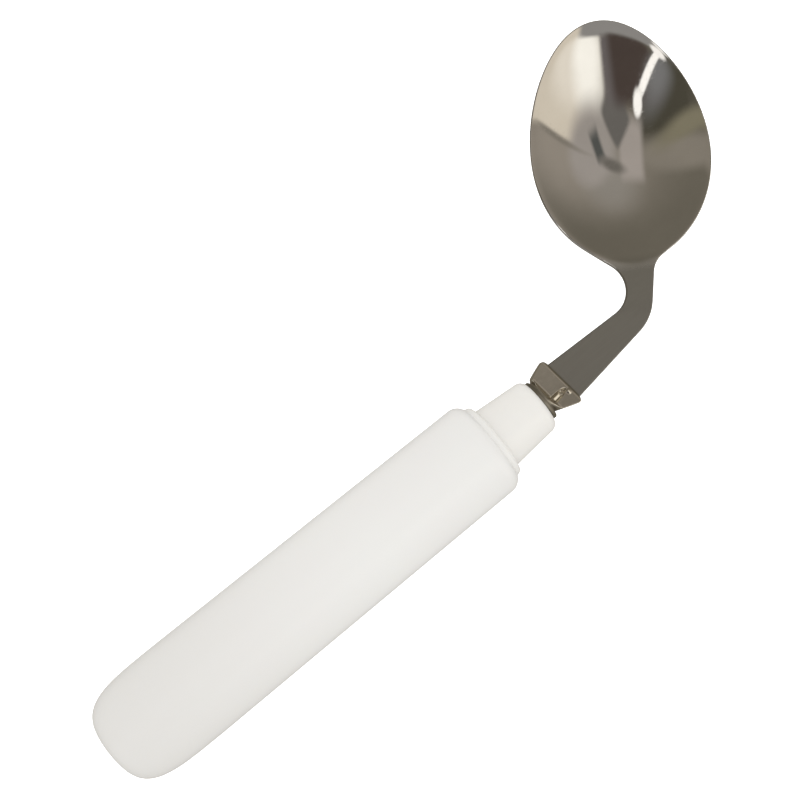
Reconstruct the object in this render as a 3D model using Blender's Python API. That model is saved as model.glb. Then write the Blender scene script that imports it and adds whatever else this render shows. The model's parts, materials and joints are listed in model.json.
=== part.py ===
"""Built-up handle spoon: a bent steel spoon held in a thick white plastic grip.

The pieces are modelled along the handle's axis: X runs from the butt end towards the
bowl, Z is up, and the bowl is bent to the +Y side. One empty carries every piece. It
lays the spoon down at the end, so that the grip and the bowl both rest on Z = 0.
"""

import math

import bmesh
import bpy
from mathutils import Vector

# Clearance that every fitted piece keeps to its neighbour
FIT_GAP = 0.0003

# Spoon stamping: shank and tang
SHANK_THICKNESS = 0.0018
SHANK_WIDTH = 0.0109  # where it leaves the ferrule
SHANK_BEND_WIDTH = 0.0064  # where its edges would cross the bowl's axis
SHANK_LEAN = math.radians(3.2)  # from the nose on, shank and mouth lean to the bowl's side
TANG_WIDTH = 0.0050
TANG_LENGTH = 0.046  # behind the nose's end
EDGE_CHAMFER = 0.0003

# Spoon stamping: sideways bend and neck
BEND_ANGLE = math.radians(59.5)
BEND_REACH = 0.0260  # from the ferrule's mouth to the crossing of handle and bowl axes
INNER_CORNER_REACH = 0.0306  # from the mouth to the inner edge's corner, before rounding
INNER_BEND_RADIUS = 0.0069
OUTER_CORNER_REACH = 0.0262
OUTER_BEND_RADIUS = 0.0120
HEEL_REACH = 0.0126  # along the bowl's axis, from the crossing to the neck's outer corner
HEEL_WIDTH = 0.0082
HEEL_RADIUS = 0.0060
NECK_RAMP = 0.016  # length along the bowl's axis in which the neck drops to the rim

# Spoon stamping: bowl
BOWL_LENGTH = 0.0592
BOWL_WIDTH = 0.0437
BOWL_WIDEST = 0.0265  # from the heel to the widest place
BOWL_REACH = 0.0131  # from the crossing of the axes to the heel
BOWL_DEPTH = 0.0092
BOWL_THICKNESS = 0.0012
BOWL_POINTEDNESS = 0.10  # 0 is a plain oval, larger draws the ends in
HEEL_POINTEDNESS = 0.11  # how much more the heel is drawn in than the tip
HEEL_SOFTNESS = 0.12  # how gently the neck runs down into the bowl
RIM_SOFTNESS = 0.012  # the same at the rim ahead of the widest place
TIP_STEEPNESS = 0.20  # how much steeper the wall is at the tip than at the sides
TIP_SKEW = 0.0009  # the tip lies this much to the left of the bowl's axis

# Ferrule
FERRULE_SHEET = 0.0006
FERRULE_DEPTH = 0.010  # length of the tube inside the core
FERRULE_REACH = 0.00725  # from the nose's end to the mouth
FLANGE_OVERHANG = 0.00095
FLANGE_THICKNESS = 0.0009
FLANGE_SHIFT = 0.0003  # the flange lies this much to the bowl's side of the tube
NECK_STEP = 0.00015  # in front of the flange the ferrule is this much wider than its tube
FERRULE_NECK = 0.0001
MOUTH_BAND = 0.0004
MOUTH_GAP = 0.0005  # beside the shank
MOUTH_SKEW = 0.0016  # the flattened mouth is this much out of square
MOUTH_SHIFT = 0.0003  # and this much off the shank's middle
MOUTH_CORNER = 0.0009
MOUTH_ROUNDING = 0.0003
PRESS = 0.65  # share of the tube's height that is pressed out in front of the neck
PRESS_RUN = 1 / 6  # share of the flare that this takes
FLARE_RATE = 0.75  # below 1 the sides spread early in the flare
FOLD_DEPTH = 0.0004  # crease where the tube was flattened
FOLD_HALF_WIDTH = 0.0013
FOLD_OFFSET = -0.0019  # sideways from the mouth's middle

# Resin seal and cross pin
SEAL_WALL = 0.00045
PIN_DIAMETER = 0.0020
PIN_INSET = 0.008  # from the tang's back end

# Slim handle core
CORE_DIAMETER = 0.0161
CORE_TAIL = 0.014  # behind the tang's back end
NOSE_LENGTH = 0.0136
NOSE_TIP_WALL = 0.0024
NOSE_EDGE_RADIUS = 0.0022

# Bushes between core and grip
BUSH_WALL = 0.0016
BUSH_DEPTH = 0.014
BUSH_PROUD = 0.0017
BUSH_EDGE_RADIUS = 0.0013
REAR_BUSH_LENGTH = 0.008

# Grip shell
GRIP_LENGTH = 0.1141
GRIP_WALL = 0.00195  # at the front lip
GRIP_DRAFT = math.radians(0.62)
LIP_RADIUS = 0.0035
BUTT_ROUND_LENGTH = 0.0222
BUTT_FLAT_DIAMETER = 0.008
BUTT_WALL = 0.004
BUTT_SQUARENESS = 3.9  # 2 is an oval end, larger is squarer

# Facets
ROUND_STEPS = 60
SMALL_ROUND_STEPS = 48
PIN_STEPS = 20
CURVE_STEPS = 8
FLARE_STEPS = 6
SPOON_COLUMNS = 12
SEARCH_STEPS = 400
SLOPE_STEP = 0.0001

# Places along the handle's axis
BUSH_FRONT = GRIP_LENGTH + BUSH_PROUD
NOSE_END = BUSH_FRONT + NOSE_LENGTH
TANG_END = NOSE_END - TANG_LENGTH
PIN_PLACE = TANG_END + PIN_INSET
CORE_END = TANG_END - CORE_TAIL
FERRULE_SEAT = NOSE_END + FIT_GAP
TUBE_END = FERRULE_SEAT - FERRULE_DEPTH
FLARE_START = FERRULE_SEAT + FLANGE_THICKNESS + FERRULE_NECK
MOUTH = NOSE_END + FERRULE_REACH
BEND = MOUTH + BEND_REACH
PRESS_SHIFT = FERRULE_REACH * math.tan(SHANK_LEAN) + MOUTH_SHIFT

# Radii, from the tang outwards
TANG_SPACE = (TANG_WIDTH / 2 + FIT_GAP, SHANK_THICKNESS / 2 + FIT_GAP)
SEAL_RADIUS = math.hypot(*TANG_SPACE) + SEAL_WALL
TUBE_RADIUS = SEAL_RADIUS + FIT_GAP + FERRULE_SHEET
SOCKET_RADIUS = TUBE_RADIUS + FIT_GAP
NOSE_TIP_RADIUS = SOCKET_RADIUS + NOSE_TIP_WALL
CORE_RADIUS = CORE_DIAMETER / 2
BUSH_BORE = CORE_RADIUS + FIT_GAP
BUSH_RADIUS = BUSH_BORE + BUSH_WALL
GRIP_BORE = BUSH_RADIUS + FIT_GAP
GRIP_FRONT_RADIUS = GRIP_BORE + GRIP_WALL
LIP_TURN = math.acos(max(0, 1 - GRIP_WALL / LIP_RADIUS))
LIP_START = GRIP_LENGTH - LIP_RADIUS * math.sin(LIP_TURN)
GRIP_BUTT_RADIUS = GRIP_FRONT_RADIUS + (LIP_START - BUTT_ROUND_LENGTH) * math.tan(GRIP_DRAFT)

# Bowl, in its own plan: u along its axis from the crossing, v to its left
BOWL_AXIS = Vector((math.cos(BEND_ANGLE), math.sin(BEND_ANGLE)))
BOWL_LEFT = Vector((-BOWL_AXIS.y, BOWL_AXIS.x))
HEEL_LENGTH = BOWL_WIDEST
TIP_LENGTH = BOWL_LENGTH - BOWL_WIDEST
WIDEST = BOWL_REACH + BOWL_WIDEST
CUBIC_TERM = ((HEEL_LENGTH / TIP_LENGTH) ** 2 - 1) / (HEEL_LENGTH ** 2 * BOWL_LENGTH)
SQUARE_TERM = (1 - CUBIC_TERM * TIP_LENGTH ** 3) / TIP_LENGTH ** 2

MERGE_DISTANCE = 1e-6
SHARP_EDGE = math.radians(35)


def clear_scene():
    for obj in list(bpy.data.objects):
        bpy.data.objects.remove(obj, do_unlink=True)


def plain_material(name, colour, roughness, metallic):
    material = bpy.data.materials.new(name)
    material.use_nodes = True
    shader = material.node_tree.nodes["Principled BSDF"]
    shader.inputs["Base Color"].default_value = (*colour, 1.0)
    shader.inputs["Roughness"].default_value = roughness
    shader.inputs["Metallic"].default_value = metallic
    return material


def add_object(name, bm, carrier, material=None):
    mesh = bpy.data.meshes.new(name)
    bm.to_mesh(mesh)
    bm.free()
    mesh.shade_smooth()
    mesh.set_sharp_from_angle(angle=SHARP_EDGE)
    if material:
        mesh.materials.append(material)
    obj = bpy.data.objects.new(name, mesh)
    obj.parent = carrier
    bpy.context.scene.collection.objects.link(obj)
    return obj


def add_cutter(name, bm, carrier):
    cutter = add_object(name, bm, carrier)
    cutter.hide_render = True
    cutter.display_type = "WIRE"
    return cutter


def cut(obj, cutter):
    boolean = obj.modifiers.new("cut by " + cutter.name, "BOOLEAN")
    boolean.operation = "DIFFERENCE"
    boolean.solver = "EXACT"
    boolean.object = cutter


def turned(profile, steps, closed=False):
    """Turn (x, radius) points about the handle's axis into one closed solid."""
    bm = bmesh.new()
    verts = [bm.verts.new((x, 0, radius)) for x, radius in profile]
    edges = [bm.edges.new(pair) for pair in zip(verts, verts[1:])]
    if closed:
        edges.append(bm.edges.new((verts[-1], verts[0])))
    bmesh.ops.spin(bm, geom=verts + edges, cent=(0, 0, 0), axis=(1, 0, 0),
                   angle=math.tau, steps=steps, use_merge=True)
    bmesh.ops.remove_doubles(bm, verts=bm.verts[:], dist=MERGE_DISTANCE)
    bmesh.ops.recalc_face_normals(bm, faces=bm.faces[:])
    return bm


def round_corner(x, radius, edge, turn=math.pi / 2):
    """Points of a rounded front edge that starts at (x, radius) and turns inwards."""
    angles = [turn * step / CURVE_STEPS for step in range(CURVE_STEPS + 1)]
    return [(x + edge * math.sin(a), radius - edge * (1 - math.cos(a))) for a in angles]


def butt_curve(start, length, radius, flat_radius):
    """Points of a squarish rounded end, from its flat face out to its full radius."""
    power = 2 / BUTT_SQUARENESS
    first = math.asin((flat_radius / radius) ** (1 / power))
    flat_drop = math.cos(first) ** power
    points = []
    for step in range(CURVE_STEPS + 1):
        angle = first + (math.pi / 2 - first) * step / CURVE_STEPS
        drop = max(0, math.cos(angle)) ** power
        points.append((start + length * (1 - drop / flat_drop), radius * math.sin(angle) ** power))
    return points


def make_grip_shell(carrier, material):
    flat_radius = BUTT_FLAT_DIAMETER / 2
    outside = [(0, 0)]
    outside += butt_curve(0, BUTT_ROUND_LENGTH, GRIP_BUTT_RADIUS, flat_radius)
    outside += round_corner(LIP_START, GRIP_FRONT_RADIUS, LIP_RADIUS, LIP_TURN)
    outside.append((GRIP_LENGTH, GRIP_BORE))
    inside = [(BUTT_WALL, 0)]
    inside += butt_curve(BUTT_WALL, BUTT_ROUND_LENGTH, GRIP_BORE, flat_radius)
    profile = outside + inside[::-1]
    return add_object("grip_shell", turned(profile, ROUND_STEPS), carrier, material)


def make_front_bush(carrier, material):
    edge = min(BUSH_EDGE_RADIUS, BUSH_PROUD, BUSH_WALL)
    back = GRIP_LENGTH - BUSH_DEPTH
    profile = [(back, BUSH_BORE), (back, BUSH_RADIUS)]
    profile += round_corner(BUSH_FRONT - edge, BUSH_RADIUS, edge)
    profile.append((BUSH_FRONT, BUSH_BORE))
    return add_object("front_bush", turned(profile, ROUND_STEPS, closed=True), carrier, material)


def make_rear_bush(carrier, material):
    front = CORE_END + REAR_BUSH_LENGTH
    profile = [(CORE_END, BUSH_BORE), (CORE_END, BUSH_RADIUS)]
    profile += [(front, BUSH_RADIUS), (front, BUSH_BORE)]
    return add_object("rear_bush", turned(profile, ROUND_STEPS, closed=True), carrier, material)


def make_handle_core(carrier, material):
    edge = min(NOSE_EDGE_RADIUS, NOSE_TIP_WALL)
    socket_end = TUBE_END - FIT_GAP
    profile = [(CORE_END, 0), (CORE_END, CORE_RADIUS), (BUSH_FRONT, CORE_RADIUS)]
    profile += round_corner(NOSE_END - edge, NOSE_TIP_RADIUS, edge)
    profile += [(NOSE_END, SOCKET_RADIUS), (socket_end, SOCKET_RADIUS), (socket_end, 0)]
    return add_object("handle_core", turned(profile, ROUND_STEPS), carrier, material)


def make_tang_seal(carrier, material):
    profile = [(TUBE_END, 0), (TUBE_END, SEAL_RADIUS), (FERRULE_SEAT, SEAL_RADIUS), (FERRULE_SEAT, 0)]
    return add_object("tang_seal", turned(profile, SMALL_ROUND_STEPS), carrier, material)


def upright_rod(radius, length):
    """A round rod that stands across the flat tang at the pin's place."""
    bm = turned([(-length / 2, 0), (-length / 2, radius), (length / 2, radius), (length / 2, 0)], PIN_STEPS)
    for vert in bm.verts:
        vert.co = Vector((PIN_PLACE + vert.co.z, vert.co.y, -vert.co.x))
    bmesh.ops.recalc_face_normals(bm, faces=bm.faces[:])
    return bm


def make_tang_pin(carrier, material):
    length = CORE_DIAMETER - 2 * FIT_GAP
    return add_object("tang_pin", upright_rod(PIN_DIAMETER / 2, length), carrier, material)


def make_pin_hole(carrier):
    return add_cutter("pin_hole", upright_rod(PIN_DIAMETER / 2 + FIT_GAP, 2 * CORE_DIAMETER), carrier)


def make_tang_slot(carrier):
    bm = bmesh.new()
    bmesh.ops.create_cube(bm, size=2)
    back = TANG_END - FIT_GAP
    half_length = (FLARE_START - back) / 2
    for vert in bm.verts:
        x = back + half_length * (1 + vert.co.x)
        vert.co = Vector((x, TANG_SPACE[0] * vert.co.y, TANG_SPACE[1] * vert.co.z))
    return add_cutter("tang_slot", bm, carrier)


def rounded_ring(half_width, half_height, corner, count):
    """Evenly spread (y, z) points round a tube pressed flat: four flats and four round corners."""
    flat = 2 * (half_width - corner)
    wall = 2 * (half_height - corner)
    bend = math.pi / 2 * corner
    half_round = flat + wall + 2 * bend
    points = []
    for step in range(count):
        along = step / count * 2 * half_round
        side = 1
        if along >= half_round:
            along -= half_round
            side = -1
        if along < flat:
            y, z = along - flat / 2, half_height
        elif along < flat + bend:
            angle = (along - flat) / corner
            y, z = flat / 2 + corner * math.sin(angle), wall / 2 + corner * math.cos(angle)
        elif along < flat + bend + wall:
            y, z = half_width, wall / 2 - (along - flat - bend)
        else:
            angle = (along - flat - bend - wall) / corner
            y, z = flat / 2 + corner * math.cos(angle), -wall / 2 - corner * math.sin(angle)
        points.append((side * y, side * z))
    return points


def fold_dip(flare, y, z):
    """How far the crease presses the ferrule's upper face down."""
    across = (y - FOLD_OFFSET) / FOLD_HALF_WIDTH
    if z <= 0 or abs(across) >= 1:
        return 0
    return FOLD_DEPTH * (1 - abs(across)) * math.sin(math.pi * flare)


def ferrule_ring(x, inset, flare, grow=0, shift=0):
    """One ring of the ferrule: flare 0 is the round tube and 1 the flattened mouth."""
    mouth_half_width = SHANK_WIDTH / 2 + MOUTH_GAP + FERRULE_SHEET
    mouth_half_height = SHANK_THICKNESS / 2 + FIT_GAP + FERRULE_SHEET
    pressed = soft_step(flare / PRESS_RUN)
    still_round = (1 - flare) * (1 - PRESS * pressed)
    half_width = TUBE_RADIUS + (mouth_half_width - TUBE_RADIUS) * flare ** FLARE_RATE - inset + grow
    half_height = mouth_half_height + (TUBE_RADIUS - mouth_half_height) * still_round - inset + grow
    corner = TUBE_RADIUS + (MOUTH_CORNER - TUBE_RADIUS) * pressed - inset + grow
    corner = min(corner, half_width, half_height)
    skew = MOUTH_SKEW / (2 * mouth_half_width) * flare
    ring = []
    for y, z in rounded_ring(half_width, half_height, corner, SMALL_ROUND_STEPS):
        ring.append((x - skew * y, y + shift, z - fold_dip(flare, y, z)))
    return ring


def make_ferrule(carrier, material):
    flange_front = FERRULE_SEAT + FLANGE_THICKNESS
    band_start = MOUTH - MOUTH_BAND
    flare = [step / FLARE_STEPS for step in range(FLARE_STEPS + 1)]
    flare_run = [(FLARE_START + (band_start - FLARE_START) * f, f) for f in flare]
    rings = [ferrule_ring(x, 0, 0) for x in (TUBE_END, FERRULE_SEAT)]
    rings += [ferrule_ring(x, 0, 0, FLANGE_OVERHANG, FLANGE_SHIFT) for x in (FERRULE_SEAT, flange_front)]
    rings.append(ferrule_ring(flange_front, 0, 0, NECK_STEP, PRESS_SHIFT))
    rings += [ferrule_ring(x, 0, f, NECK_STEP * (1 - f), PRESS_SHIFT) for x, f in flare_run]
    rings.append(ferrule_ring(MOUTH - MOUTH_ROUNDING, 0, 1, 0, PRESS_SHIFT))
    rings.append(ferrule_ring(MOUTH, 0, 1, -MOUTH_ROUNDING, PRESS_SHIFT))
    rings.append(ferrule_ring(MOUTH, FERRULE_SHEET, 1, 0, PRESS_SHIFT))
    for x, f in flare_run[::-1]:
        rings.append(ferrule_ring(x, FERRULE_SHEET, f, NECK_STEP * (1 - f), PRESS_SHIFT))
    rings += [ferrule_ring(x, FERRULE_SHEET, 0) for x in (FERRULE_SEAT, TUBE_END)]
    bm = bmesh.new()
    loops = [[bm.verts.new(point) for point in ring] for ring in rings]
    for loop, following in zip(loops, loops[1:] + loops[:1]):
        for i in range(SMALL_ROUND_STEPS):
            j = (i + 1) % SMALL_ROUND_STEPS
            bm.faces.new((loop[i], loop[j], following[j], following[i]))
    bmesh.ops.recalc_face_normals(bm, faces=bm.faces[:])
    return add_object("ferrule", bm, carrier, material)


def bowl_fill(u):
    """1 at the bowl's widest place, falling to 0 at its heel and at its tip."""
    x = u - WIDEST
    return 1 - SQUARE_TERM * x ** 2 - CUBIC_TERM * x ** 3


def oval_slimness(u):
    pointedness = BOWL_POINTEDNESS - HEEL_POINTEDNESS * (u - WIDEST) / BOWL_LENGTH
    return 1 - pointedness * (1 - max(0, bowl_fill(u)))


def oval_half_width(u):
    return BOWL_WIDTH / 2 * math.sqrt(max(0, bowl_fill(u) * oval_slimness(u)))


def oval_middle(u):
    """How far the middle of the bowl lies to the left of its axis."""
    return TIP_SKEW * max(0, (u - WIDEST) / TIP_LENGTH) ** 2


def plan_point(u, v):
    """A point given in the bowl's plan, in the handle's plan."""
    return Vector((BEND, 0)) + u * BOWL_AXIS + v * BOWL_LEFT


def neck_drop():
    """How far the bowl's rim lies under the shank, so that the bowl rests on the table."""
    table = -GRIP_BUTT_RADIUS + (plan_point(WIDEST, 0).x - BUTT_ROUND_LENGTH) * math.tan(GRIP_DRAFT)
    return SHANK_THICKNESS / 2 - table - BOWL_THICKNESS - BOWL_DEPTH


def soft_step(value):
    value = min(1, max(0, value))
    return value * value * (3 - 2 * value)


def upper_face(point):
    """Height of the stamping's upper face over a point of the plan."""
    offset = point - Vector((BEND, 0))
    u = offset.dot(BOWL_AXIS)
    v = offset.dot(BOWL_LEFT) - oval_middle(u)
    if u <= 0:
        return SHANK_THICKNESS / 2
    softness = RIM_SOFTNESS + HEEL_SOFTNESS * (1 - soft_step((u - BOWL_REACH) / HEEL_LENGTH))
    inside = bowl_fill(u) - (2 * v / BOWL_WIDTH) ** 2 / oval_slimness(u)
    hollow = (inside + math.sqrt(inside ** 2 + softness ** 2)) / 2
    power = 1 - TIP_STEEPNESS * max(0, (u - WIDEST) / TIP_LENGTH)
    depth = BOWL_DEPTH * hollow ** power * soft_step(u / BOWL_REACH)
    return SHANK_THICKNESS / 2 - neck_drop() * soft_step(u / NECK_RAMP) - depth


def fillet(before, corner, after, radius):
    """Points of an arc that rounds a corner between two straight edges."""
    back = (before - corner).normalized()
    ahead = (after - corner).normalized()
    half = math.acos(max(-1, min(1, back.dot(ahead)))) / 2
    reach = min(radius / math.tan(half), (before - corner).length, (after - corner).length)
    radius = reach * math.tan(half)
    centre = corner + (back + ahead).normalized() * radius / math.sin(half)
    start = corner + back * reach - centre
    turn = math.copysign(math.pi - 2 * half, back.cross(ahead) * -1)
    points = []
    for step in range(CURVE_STEPS + 1):
        angle = turn * step / CURVE_STEPS
        x = start.x * math.cos(angle) - start.y * math.sin(angle)
        y = start.x * math.sin(angle) + start.y * math.cos(angle)
        points.append(centre + Vector((x, y)))
    return points


def spread(points, count):
    """Points at even distances along a line of points, both ends included."""
    lengths = [(b - a).length for a, b in zip(points, points[1:])]
    total = sum(lengths)
    result = []
    for step in range(count + 1):
        left = total * step / count
        index = 0
        while index < len(lengths) - 1 and left > lengths[index]:
            left -= lengths[index]
            index += 1
        share = left / max(lengths[index], MERGE_DISTANCE)
        result.append(points[index].lerp(points[index + 1], share))
    return result


def oval_tangent(corner, side):
    """Place u on one side of the bowl that a straight edge from the corner just touches."""
    offset = corner - Vector((BEND, 0))
    corner_u = offset.dot(BOWL_AXIS)
    corner_v = side * offset.dot(BOWL_LEFT)
    places = [BOWL_REACH + HEEL_LENGTH * step / SEARCH_STEPS for step in range(SEARCH_STEPS + 1)]
    return max(places, key=lambda u: math.atan2(oval_half_width(u) - corner_v, u - corner_u))


def shank_edge(reach, side):
    """Point on one edge of the shank, at a distance from the ferrule's mouth."""
    half_width = (SHANK_WIDTH + (SHANK_BEND_WIDTH - SHANK_WIDTH) * reach / BEND_REACH) / 2
    middle = (FERRULE_REACH + reach) * math.tan(SHANK_LEAN)
    return Vector((MOUTH + reach, middle + side * half_width))


def stem_rows():
    """Left and right edge points of the stamping, from the tang's end to the bowl."""
    inner_corner = shank_edge(INNER_CORNER_REACH, 1)
    outer_corner = shank_edge(OUTER_CORNER_REACH, -1)
    heel_corner = plan_point(HEEL_REACH, -HEEL_WIDTH / 2)
    touch = oval_tangent(inner_corner, 1)
    heel = oval_tangent(heel_corner, -1)
    left_touch = plan_point(touch, oval_half_width(touch))
    oval = [heel + (touch - heel) * step / CURVE_STEPS for step in range(CURVE_STEPS + 1)]
    right_oval = [plan_point(u, -oval_half_width(u)) for u in oval]
    inner_arc = fillet(shank_edge(0, 1), inner_corner, left_touch, INNER_BEND_RADIUS)
    outer_arc = fillet(shank_edge(0, -1), outer_corner, heel_corner, OUTER_BEND_RADIUS)
    heel_arc = fillet(outer_corner, heel_corner, right_oval[0], HEEL_RADIUS)
    tang_left = [Vector((x, TANG_WIDTH / 2)) for x in (TANG_END, FLARE_START)]
    tang_right = [Vector((x, -TANG_WIDTH / 2)) for x in (TANG_END, FLARE_START)]
    runs = [
        (tang_left, tang_right),
        ([tang_left[1], shank_edge(0, 1)], [tang_right[1], shank_edge(0, -1)]),
        ([shank_edge(0, 1), inner_arc[0]], [shank_edge(0, -1), outer_arc[0]]),
        (inner_arc, outer_arc + [heel_arc[0]]),
        ([inner_arc[-1], left_touch], heel_arc + right_oval),
    ]
    rows = [(tang_left[0], tang_right[0])]
    for left, right in runs:
        rows += list(zip(spread(left, CURVE_STEPS), spread(right, CURVE_STEPS)))[1:]
    return rows, touch


def bowl_rows(touch):
    """Rows of plan points from the end of the neck to the bowl's rounded tip."""
    sides = [2 * column / SPOON_COLUMNS - 1 for column in range(SPOON_COLUMNS + 1)]
    rows = []
    for step in range(1, CURVE_STEPS + 1):
        u = touch + (WIDEST - touch) * step / CURVE_STEPS
        rows.append([plan_point(u, -side * oval_half_width(u)) for side in sides])
    for step in range(1, CURVE_STEPS + 1):
        ahead = step / CURVE_STEPS
        row = []
        for side in sides:
            along = ahead * math.sqrt(1 - side ** 2 / 2)
            across = side * math.sqrt(1 - ahead ** 2 / 2)
            u = WIDEST + TIP_LENGTH * along
            share = across / math.sqrt(1 - along ** 2) if along < 1 else 0
            row.append(plan_point(u, oval_middle(u) - share * oval_half_width(u)))
        rows.append(row)
    return rows


def sheet_thickness(point):
    """Thickness of the stamping over a point of the plan, straight down through its slope."""
    u = (point - Vector((BEND, 0))).dot(BOWL_AXIS)
    gauge = SHANK_THICKNESS + (BOWL_THICKNESS - SHANK_THICKNESS) * soft_step(u / WIDEST)
    height = upper_face(point)
    rise_along = (upper_face(point + Vector((SLOPE_STEP, 0))) - height) / SLOPE_STEP
    rise_across = (upper_face(point + Vector((0, SLOPE_STEP))) - height) / SLOPE_STEP
    return gauge * math.sqrt(1 + rise_along ** 2 + rise_across ** 2)


def grid_edge(grid):
    """The vertices round the edge of a grid, in order."""
    return grid[0] + [row[-1] for row in grid[1:-1]] + grid[-1][::-1] + [row[0] for row in grid[-2:0:-1]]


def make_spoon_head(carrier, material):
    stem, touch = stem_rows()
    rows = []
    for left, right in stem:
        rows.append([left.lerp(right, column / SPOON_COLUMNS) for column in range(SPOON_COLUMNS + 1)])
    rows += bowl_rows(touch)
    bm = bmesh.new()
    upper = [[bm.verts.new((p.x, p.y, upper_face(p))) for p in row] for row in rows]
    lower = [[bm.verts.new((p.x, p.y, upper_face(p) - sheet_thickness(p))) for p in row] for row in rows]
    for grid in (upper, lower):
        for row, following in zip(grid, grid[1:]):
            for column in range(SPOON_COLUMNS):
                bm.faces.new((row[column], row[column + 1], following[column + 1], following[column]))
    upper_edge = grid_edge(upper)
    lower_edge = grid_edge(lower)
    for i in range(len(upper_edge)):
        bm.faces.new((upper_edge[i - 1], upper_edge[i], lower_edge[i], lower_edge[i - 1]))
    bmesh.ops.recalc_face_normals(bm, faces=bm.faces[:])
    spoon = add_object("spoon_head", bm, carrier, material)
    chamfer = spoon.modifiers.new("edge chamfer", "BEVEL")
    chamfer.width = EDGE_CHAMFER
    chamfer.segments = 1
    chamfer.limit_method = "ANGLE"
    chamfer.angle_limit = SHARP_EDGE
    return spoon


def lay_down(carrier, pieces):
    """Level the grip's lower side and set the spoon on the table, centred on the origin."""
    carrier.rotation_euler = (0, GRIP_DRAFT, 0)
    bpy.context.view_layer.update()
    graph = bpy.context.evaluated_depsgraph_get()
    corners = []
    for piece in pieces:
        solid = piece.evaluated_get(graph)
        corners += [piece.matrix_world @ vert.co for vert in solid.data.vertices]
    low = [min(corner[axis] for corner in corners) for axis in range(3)]
    high = [max(corner[axis] for corner in corners) for axis in range(3)]
    carrier.location = (-(low[0] + high[0]) / 2, -(low[1] + high[1]) / 2, -low[2])


def main():
    clear_scene()
    carrier = bpy.data.objects.new("spoon_on_table", None)
    bpy.context.scene.collection.objects.link(carrier)
    polished_steel = plain_material("polished_steel", (0.56, 0.55, 0.52), 0.18, 1.0)
    ferrule_steel = plain_material("ferrule_steel", (0.42, 0.40, 0.36), 0.35, 1.0)
    pin_steel = plain_material("pin_steel", (0.50, 0.50, 0.50), 0.40, 1.0)
    grip_plastic = plain_material("grip_plastic", (0.85, 0.84, 0.81), 0.40, 0.0)
    core_plastic = plain_material("core_plastic", (0.84, 0.82, 0.78), 0.38, 0.0)
    bush_plastic = plain_material("bush_plastic", (0.83, 0.82, 0.78), 0.42, 0.0)
    rear_plastic = plain_material("rear_plastic", (0.70, 0.70, 0.68), 0.50, 0.0)
    seal_resin = plain_material("seal_resin", (0.60, 0.52, 0.35), 0.30, 0.0)

    spoon_head = make_spoon_head(carrier, polished_steel)
    ferrule = make_ferrule(carrier, ferrule_steel)
    tang_seal = make_tang_seal(carrier, seal_resin)
    handle_core = make_handle_core(carrier, core_plastic)
    tang_pin = make_tang_pin(carrier, pin_steel)
    front_bush = make_front_bush(carrier, bush_plastic)
    rear_bush = make_rear_bush(carrier, rear_plastic)
    grip_shell = make_grip_shell(carrier, grip_plastic)

    tang_slot = make_tang_slot(carrier)
    pin_hole = make_pin_hole(carrier)
    cut(tang_seal, tang_slot)
    cut(handle_core, tang_slot)
    cut(handle_core, pin_hole)
    cut(spoon_head, pin_hole)

    lay_down(carrier, [spoon_head, ferrule, tang_seal, handle_core, tang_pin,
                       front_bush, rear_bush, grip_shell])


main()
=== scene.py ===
"""Looks of the built-up handle spoon: fine shapes, materials, studio light and camera.

Every piece is modelled in the handle's own frame, as the solids are: X runs along the handle
from the butt end towards the bowl, Z is up, and the bowl is bent to the +Y side. The record's
butt_end mount says where that frame lies.
"""

import json
import math

import bmesh
import bpy
from mathutils import Matrix, Vector

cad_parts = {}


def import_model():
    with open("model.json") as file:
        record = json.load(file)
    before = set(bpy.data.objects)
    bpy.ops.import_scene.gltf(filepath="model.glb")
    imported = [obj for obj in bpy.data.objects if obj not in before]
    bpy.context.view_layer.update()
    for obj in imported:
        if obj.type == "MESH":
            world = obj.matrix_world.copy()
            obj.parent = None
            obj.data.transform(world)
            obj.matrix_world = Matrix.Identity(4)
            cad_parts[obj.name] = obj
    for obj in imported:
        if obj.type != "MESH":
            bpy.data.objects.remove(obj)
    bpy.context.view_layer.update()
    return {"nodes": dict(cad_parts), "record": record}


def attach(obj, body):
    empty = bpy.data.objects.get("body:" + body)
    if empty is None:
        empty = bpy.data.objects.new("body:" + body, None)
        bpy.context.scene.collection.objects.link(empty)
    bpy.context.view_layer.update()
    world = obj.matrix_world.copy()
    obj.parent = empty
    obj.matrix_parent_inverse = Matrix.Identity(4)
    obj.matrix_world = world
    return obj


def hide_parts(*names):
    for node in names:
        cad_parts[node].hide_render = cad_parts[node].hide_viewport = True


# Clearance that every fitted piece keeps to its neighbour
FIT_GAP = 0.0003

# Spoon stamping: its upper and lower faces end one edge rounding inside its outline
EDGE_ROUNDING = 0.00025
OUTLINE_TRIM = 0.00005  # keeps the fine outline inside the coarser solid's
FACE_INSET = EDGE_ROUNDING + OUTLINE_TRIM

# Spoon stamping: shank and tang
SHANK_THICKNESS = 0.0018
SHANK_WIDTH = 0.0109
SHANK_BEND_WIDTH = 0.0064
SHANK_LEAN = math.radians(3.2)
TANG_WIDTH = 0.0050
TANG_LENGTH = 0.046

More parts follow.
